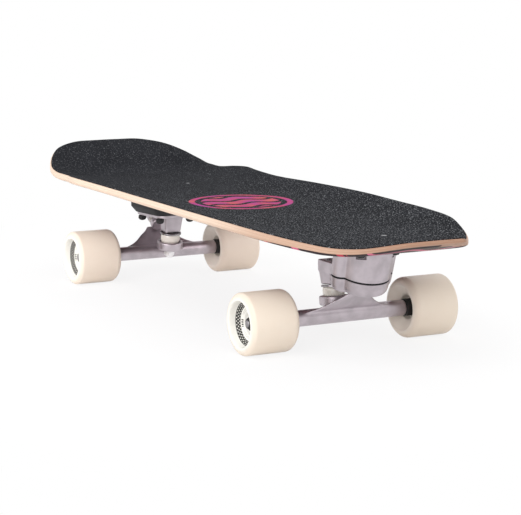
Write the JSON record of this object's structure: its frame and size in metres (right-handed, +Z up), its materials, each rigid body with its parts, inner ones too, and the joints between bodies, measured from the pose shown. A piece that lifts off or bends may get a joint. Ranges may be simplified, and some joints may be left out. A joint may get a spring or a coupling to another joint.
{
  "type": "surf skateboard",
  "caption": "Surf skateboard: kicked, concave deck with grip on a rear truck and a front truck that swings sideways on a sprung adapter arm and turns tightly.",
  "frame": {"origin": "on the ground under the middle of the deck: bottom centre of the bounding box", "axes": "+X towards the nose along the deck, +Y to the left side across the deck, +Z up"},
  "size_m": [0.8094, 0.2516, 0.1587],
  "materials": {
    "maple": "pressed maple plies, satin lacquer",
    "grip": "abrasive grit sheet",
    "cast_aluminium": "tumbled satin casting",
    "steel": "zinc plated",
    "black_steel": "black oxide",
    "black_plastic": "moulded riser pad",
    "urethane": "cast urethane, satin",
    "bushing_urethane": "cast urethane",
    "spring_steel": "oiled spring wire"
  },
  "bodies": {
    "board": {"deck": "maple", "grip_tape": "grip", "front_nose_left_bolt": "black_steel", "front_nose_left_bolt_nut": "black_steel", "front_nose_right_bolt": "black_steel", "front_nose_right_bolt_nut": "black_steel", "front_tail_left_bolt": "black_steel", "front_tail_left_bolt_nut": "black_steel", "front_tail_right_bolt": "black_steel", "front_tail_right_bolt_nut": "black_steel", "rear_nose_left_bolt": "black_steel", "rear_nose_left_bolt_nut": "black_steel", "rear_nose_right_bolt": "black_steel", "rear_nose_right_bolt_nut": "black_steel", "rear_tail_left_bolt": "black_steel", "rear_tail_left_bolt_nut": "black_steel", "rear_tail_right_bolt": "black_steel", "rear_tail_right_bolt_nut": "black_steel", "adapter_base": "cast_aluminium", "swing_lower_bearing": "steel", "swing_upper_bearing": "steel", "swing_return_spring": "spring_steel", "rear_riser": "black_plastic", "rear_baseplate": "cast_aluminium", "rear_kingpin": "steel", "rear_upper_washer": "black_steel", "rear_upper_bushing": "bushing_urethane", "rear_lower_bushing": "bushing_urethane", "rear_lower_washer": "steel", "rear_kingpin_nut": "steel", "rear_pivot_cup": "bushing_urethane"},
    "surf_arm": {"swing_arm": "cast_aluminium", "swing_pivot_bolt": "steel", "front_kingpin": "steel", "front_upper_washer": "black_steel", "front_upper_bushing": "bushing_urethane", "front_lower_bushing": "bushing_urethane", "front_lower_washer": "steel", "front_kingpin_nut": "steel", "front_pivot_cup": "bushing_urethane"},
    "front_truck_hanger": {"front_hanger": "cast_aluminium", "front_axle": "steel", "front_left_axle_nut": "steel", "front_right_axle_nut": "steel"},
    "front_left_wheel_set": {"front_left_wheel": "urethane", "front_left_outer_bearing": "steel", "front_left_inner_bearing": "steel"},
    "front_right_wheel_set": {"front_right_wheel": "urethane", "front_right_outer_bearing": "steel", "front_right_inner_bearing": "steel"},
    "rear_truck_hanger": {"rear_hanger": "cast_aluminium", "rear_axle": "steel", "rear_left_axle_nut": "steel", "rear_right_axle_nut": "steel"},
    "rear_left_wheel_set": {"rear_left_wheel": "urethane", "rear_left_outer_bearing": "steel", "rear_left_inner_bearing": "steel"},
    "rear_right_wheel_set": {"rear_right_wheel": "urethane", "rear_right_outer_bearing": "steel", "rear_right_inner_bearing": "steel"}
  },
  "joints": [
    {"name": "surf_swing", "type": "hinge", "parent": "board", "child": "surf_arm", "pos_m": [0.2691, 0, 0.08139], "axis": [0.2419, 0, 0.9703], "range_deg": [-35, 35], "stiffness_Nm_per_rad": 12},
    {"name": "front_truck_lean", "type": "hinge", "parent": "surf_arm", "child": "front_truck_hanger", "pos_m": [0.2091, 0, 0.04279], "axis": [0.84, 0, 0.5425], "range_deg": [-15, 15], "stiffness_Nm_per_rad": 60, "deforming": ["front_upper_bushing", "front_lower_bushing"]},
    {"name": "rear_truck_lean", "type": "hinge", "parent": "board", "child": "rear_truck_hanger", "pos_m": [-0.2029, 0, 0.04279], "axis": [-0.84, 0, 0.5425], "range_deg": [-15, 15], "stiffness_Nm_per_rad": 60, "deforming": ["rear_upper_bushing", "rear_lower_bushing"]},
    {"name": "front_left_wheel_spin", "type": "hinge", "parent": "front_truck_hanger", "child": "front_left_wheel_set", "pos_m": [0.2301, 0.09775, 0.03279], "axis": [0, 1, 0], "continuous": true},
    {"name": "front_right_wheel_spin", "type": "hinge", "parent": "front_truck_hanger", "child": "front_right_wheel_set", "pos_m": [0.2301, -0.09775, 0.03279], "axis": [0, 1, 0], "continuous": true},
    {"name": "rear_left_wheel_spin", "type": "hinge", "parent": "rear_truck_hanger", "child": "rear_left_wheel_set", "pos_m": [-0.2239, 0.09775, 0.03279], "axis": [0, 1, 0], "continuous": true},
    {"name": "rear_right_wheel_spin", "type": "hinge", "parent": "rear_truck_hanger", "child": "rear_right_wheel_set", "pos_m": [-0.2239, -0.09775, 0.03279], "axis": [0, 1, 0], "continuous": true}
  ]
}
